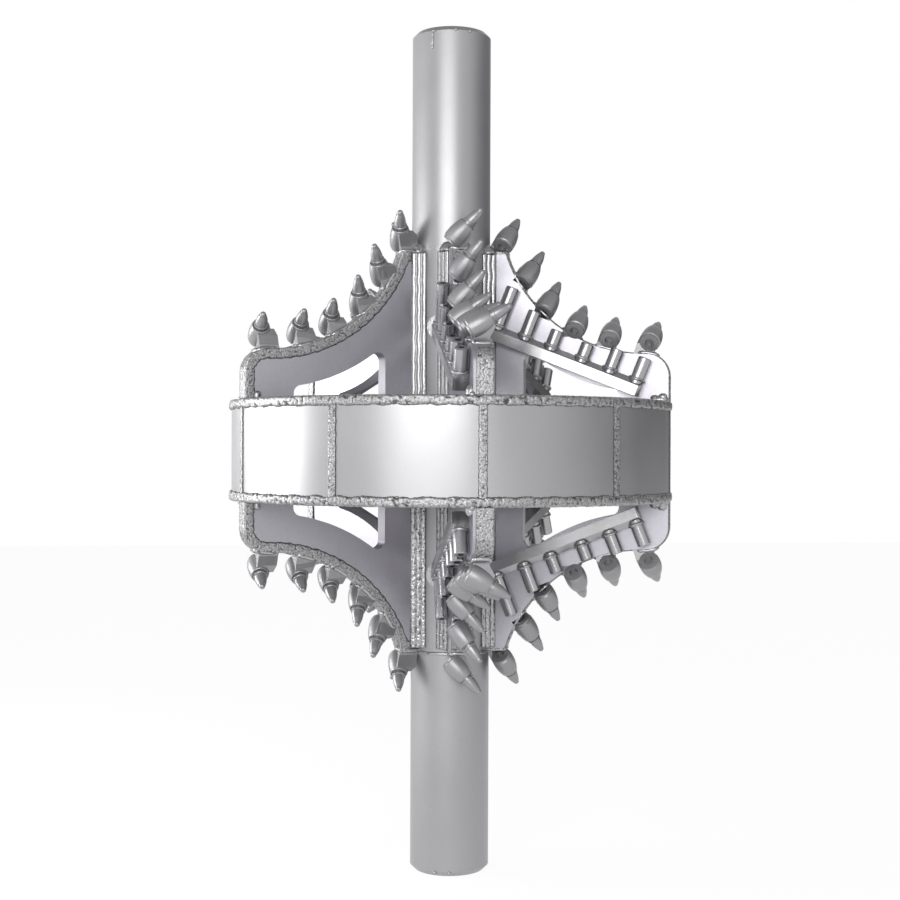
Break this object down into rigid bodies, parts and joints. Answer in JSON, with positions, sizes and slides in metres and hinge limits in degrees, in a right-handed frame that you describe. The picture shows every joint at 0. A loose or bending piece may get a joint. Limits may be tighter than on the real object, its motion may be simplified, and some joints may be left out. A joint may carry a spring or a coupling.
{
  "type": "drilling reamer",
  "caption": "Barrel-type hole opener: mandrel with box ends, windowed wings in a hardfaced ring, spinning conical picks in welded holders and fluid manifolds with nozzles.",
  "frame": {"origin": "centre of the lower end face of the mandrel", "axes": "+Z along the mandrel towards the upper box connection; wing 1 points along -Y"},
  "size_m": [1.014, 1.014, 1.918],
  "materials": {
    "mandrel_paint": "silver paint over machined steel",
    "wing_paint": "silver paint over plate",
    "ring_paint": "silver paint over rolled plate",
    "hardfacing": "silver paint over lumpy hardfacing",
    "weld_metal": "silver paint over weld beads",
    "pick_steel": "glossy silver paint over forged steel",
    "holder_steel": "glossy silver paint over forged steel",
    "sleeve_spring_steel": "bare spring steel",
    "manifold_paint": "silver paint over bar and tube"
  },
  "bodies": {
    "reamer": {"mandrel_tube": "mandrel_paint", "upper_sub": "mandrel_paint", "lower_sub": "mandrel_paint", "sub_seam_welds": "weld_metal", "wing_root_welds": "weld_metal", "inlet_weld_pads": "weld_metal", "wing_1": "wing_paint", "wing_2": "wing_paint", "wing_3": "wing_paint", "wing_4": "wing_paint", "wing_5": "wing_paint", "ring_segment_1": "ring_paint", "ring_segment_2": "ring_paint", "ring_segment_3": "ring_paint", "ring_segment_4": "ring_paint", "ring_segment_5": "ring_paint", "rim_hardfacing": "hardfacing", "ring_wear_strips": "hardfacing", "wing_edge_hardfacing": "hardfacing", "lower_picks": "pick_steel", "upper_pick_holders": "holder_steel", "lower_pick_holders": "holder_steel", "upper_retaining_sleeves": "sleeve_spring_steel", "lower_retaining_sleeves": "sleeve_spring_steel", "upper_manifolds": "manifold_paint", "lower_manifolds": "manifold_paint", "upper_nozzle_tubes": "manifold_paint", "lower_nozzle_tubes": "manifold_paint"},
    "pick_1_1": {"pick_wing_1_seat_1": "pick_steel"},
    "pick_1_2": {"pick_wing_1_seat_2": "pick_steel"},
    "pick_1_3": {"pick_wing_1_seat_3": "pick_steel"},
    "pick_1_4": {"pick_wing_1_seat_4": "pick_steel"},
    "pick_1_5": {"pick_wing_1_seat_5": "pick_steel"},
    "pick_1_6": {"pick_wing_1_seat_6": "pick_steel"},
    "pick_2_1": {"pick_wing_2_seat_1": "pick_steel"},
    "pick_2_2": {"pick_wing_2_seat_2": "pick_steel"},
    "pick_2_3": {"pick_wing_2_seat_3": "pick_steel"},
    "pick_2_4": {"pick_wing_2_seat_4": "pick_steel"},
    "pick_2_5": {"pick_wing_2_seat_5": "pick_steel"},
    "pick_2_6": {"pick_wing_2_seat_6": "pick_steel"},
    "pick_3_1": {"pick_wing_3_seat_1": "pick_steel"},
    "pick_3_2": {"pick_wing_3_seat_2": "pick_steel"},
    "pick_3_3": {"pick_wing_3_seat_3": "pick_steel"},
    "pick_3_4": {"pick_wing_3_seat_4": "pick_steel"},
    "pick_3_5": {"pick_wing_3_seat_5": "pick_steel"},
    "pick_3_6": {"pick_wing_3_seat_6": "pick_steel"},
    "pick_4_1": {"pick_wing_4_seat_1": "pick_steel"},
    "pick_4_2": {"pick_wing_4_seat_2": "pick_steel"},
    "pick_4_3": {"pick_wing_4_seat_3": "pick_steel"},
    "pick_4_4": {"pick_wing_4_seat_4": "pick_steel"},
    "pick_4_5": {"pick_wing_4_seat_5": "pick_steel"},
    "pick_4_6": {"pick_wing_4_seat_6": "pick_steel"},
    "pick_5_1": {"pick_wing_5_seat_1": "pick_steel"},
    "pick_5_2": {"pick_wing_5_seat_2": "pick_steel"},
    "pick_5_3": {"pick_wing_5_seat_3": "pick_steel"},
    "pick_5_4": {"pick_wing_5_seat_4": "pick_steel"},
    "pick_5_5": {"pick_wing_5_seat_5": "pick_steel"},
    "pick_5_6": {"pick_wing_5_seat_6": "pick_steel"}
  },
  "joints": [
    {"name": "pick_1_1_spin", "type": "hinge", "parent": "reamer", "child": "pick_1_1", "pos_m": [-0.01626, -0.12074, 1.42403], "axis": [0.6428, -0.287, 0.7103], "continuous": true},
    {"name": "pick_1_2_spin", "type": "hinge", "parent": "reamer", "child": "pick_1_2", "pos_m": [-0.01149, -0.16681, 1.34213], "axis": [0.515, -0.4156, 0.7497], "continuous": true},
    {"name": "pick_1_3_spin", "type": "hinge", "parent": "reamer", "child": "pick_1_3", "pos_m": [-0.02124, -0.21657, 1.27228], "axis": [0.6018, -0.2992, 0.7405], "continuous": true},
    {"name": "pick_1_4_spin", "type": "hinge", "parent": "reamer", "child": "pick_1_4", "pos_m": [-0.03365, -0.28923, 1.23022], "axis": [0.7771, -0.1629, 0.6079], "continuous": true},
    {"name": "pick_1_5_spin", "type": "hinge", "parent": "reamer", "child": "pick_1_5", "pos_m": [-0.03009, -0.367, 1.20873], "axis": [0.829, -0.0971, 0.5507], "continuous": true},
    {"name": "pick_1_6_spin", "type": "hinge", "parent": "reamer", "child": "pick_1_6", "pos_m": [-0.0257, -0.45604, 1.20173], "axis": [0.848, -0.1638, 0.504], "continuous": true},
    {"name": "pick_2_1_spin", "type": "hinge", "parent": "reamer", "child": "pick_2_1", "pos_m": [0.1098, -0.05278, 1.42403], "axis": [0.4716, 0.5227, 0.7103], "continuous": true},
    {"name": "pick_2_2_spin", "type": "hinge", "parent": "reamer", "child": "pick_2_2", "pos_m": [0.1551, -0.06247, 1.34213], "axis": [0.5544, 0.3614, 0.7497], "continuous": true},
    {"name": "pick_2_3_spin", "type": "hinge", "parent": "reamer", "child": "pick_2_3", "pos_m": [0.19941, -0.08713, 1.27228], "axis": [0.4705, 0.4799, 0.7405], "continuous": true},
    {"name": "pick_2_4_spin", "type": "hinge", "parent": "reamer", "child": "pick_2_4", "pos_m": [0.26468, -0.12138, 1.23022], "axis": [0.3951, 0.6888, 0.6079], "continuous": true},
    {"name": "pick_2_5_spin", "type": "hinge", "parent": "reamer", "child": "pick_2_5", "pos_m": [0.33974, -0.14203, 1.20873], "axis": [0.3485, 0.7585, 0.5507], "continuous": true},
    {"name": "pick_2_6_spin", "type": "hinge", "parent": "reamer", "child": "pick_2_6", "pos_m": [0.42578, -0.16536, 1.20173], "axis": [0.4178, 0.7559, 0.504], "continuous": true},
    {"name": "pick_3_1_spin", "type": "hinge", "parent": "reamer", "child": "pick_3_1", "pos_m": [0.08413, 0.08812, 1.42403], "axis": [-0.3514, 0.61, 0.7103], "continuous": true},
    {"name": "pick_3_2_spin", "type": "hinge", "parent": "reamer", "child": "pick_3_2", "pos_m": [0.10734, 0.12821, 1.34213], "axis": [-0.1724, 0.6389, 0.7497], "continuous": true},
    {"name": "pick_3_3_spin", "type": "hinge", "parent": "reamer", "child": "pick_3_3", "pos_m": [0.14449, 0.16272, 1.27228], "axis": [-0.311, 0.5958, 0.7405], "continuous": true},
    {"name": "pick_3_4_spin", "type": "hinge", "parent": "reamer", "child": "pick_3_4", "pos_m": [0.19723, 0.21422, 1.23022], "axis": [-0.533, 0.5886, 0.6079], "continuous": true},
    {"name": "pick_3_5_spin", "type": "hinge", "parent": "reamer", "child": "pick_3_5", "pos_m": [0.24007, 0.27922, 1.20873], "axis": [-0.6136, 0.5659, 0.5507], "continuous": true},
    {"name": "pick_3_6_spin", "type": "hinge", "parent": "reamer", "child": "pick_3_6", "pos_m": [0.28884, 0.35384, 1.20173], "axis": [-0.5898, 0.6309, 0.504], "continuous": true},
    {"name": "pick_4_1_spin", "type": "hinge", "parent": "reamer", "child": "pick_4_1", "pos_m": [-0.05781, 0.10724, 1.42403], "axis": [-0.6887, -0.1457, 0.7103], "continuous": true},
    {"name": "pick_4_2_spin", "type": "hinge", "parent": "reamer", "child": "pick_4_2", "pos_m": [-0.08876, 0.14171, 1.34213], "axis": [-0.6609, 0.0335, 0.7497], "continuous": true},
    {"name": "pick_4_3_spin", "type": "hinge", "parent": "reamer", "child": "pick_4_3", "pos_m": [-0.11011, 0.1877, 1.27228], "axis": [-0.6627, -0.1117, 0.7405], "continuous": true},
    {"name": "pick_4_4_spin", "type": "hinge", "parent": "reamer", "child": "pick_4_4", "pos_m": [-0.14278, 0.25377, 1.23022], "axis": [-0.7245, -0.325, 0.6079], "continuous": true},
    {"name": "pick_4_5_spin", "type": "hinge", "parent": "reamer", "child": "pick_4_5", "pos_m": [-0.19137, 0.3146, 1.20873], "axis": [-0.7278, -0.4087, 0.5507], "continuous": true},
    {"name": "pick_4_6_spin", "type": "hinge", "parent": "reamer", "child": "pick_4_6", "pos_m": [-0.24726, 0.38405, 1.20173], "axis": [-0.7823, -0.366, 0.504], "continuous": true},
    {"name": "pick_5_1_spin", "type": "hinge", "parent": "reamer", "child": "pick_5_1", "pos_m": [-0.11986, -0.02184, 1.42403], "axis": [-0.0743, -0.7, 0.7103], "continuous": true},
    {"name": "pick_5_2_spin", "type": "hinge", "parent": "reamer", "child": "pick_5_2", "pos_m": [-0.1622, -0.04063, 1.34213], "axis": [-0.2361, -0.6182, 0.7497], "continuous": true},
    {"name": "pick_5_3_spin", "type": "hinge", "parent": "reamer", "child": "pick_5_3", "pos_m": [-0.21254, -0.04672, 1.27228], "axis": [-0.0986, -0.6648, 0.7405], "continuous": true},
    {"name": "pick_5_4_spin", "type": "hinge", "parent": "reamer", "child": "pick_5_4", "pos_m": [-0.28548, -0.05738, 1.23022], "axis": [0.0852, -0.7894, 0.6079], "continuous": true},
    {"name": "pick_5_5_spin", "type": "hinge", "parent": "reamer", "child": "pick_5_5", "pos_m": [-0.35834, -0.08479, 1.20873], "axis": [0.1638, -0.8185, 0.5507], "continuous": true},
    {"name": "pick_5_6_spin", "type": "hinge", "parent": "reamer", "child": "pick_5_6", "pos_m": [-0.44166, -0.11649, 1.20173], "axis": [0.1063, -0.8571, 0.504], "continuous": true}
  ]
}
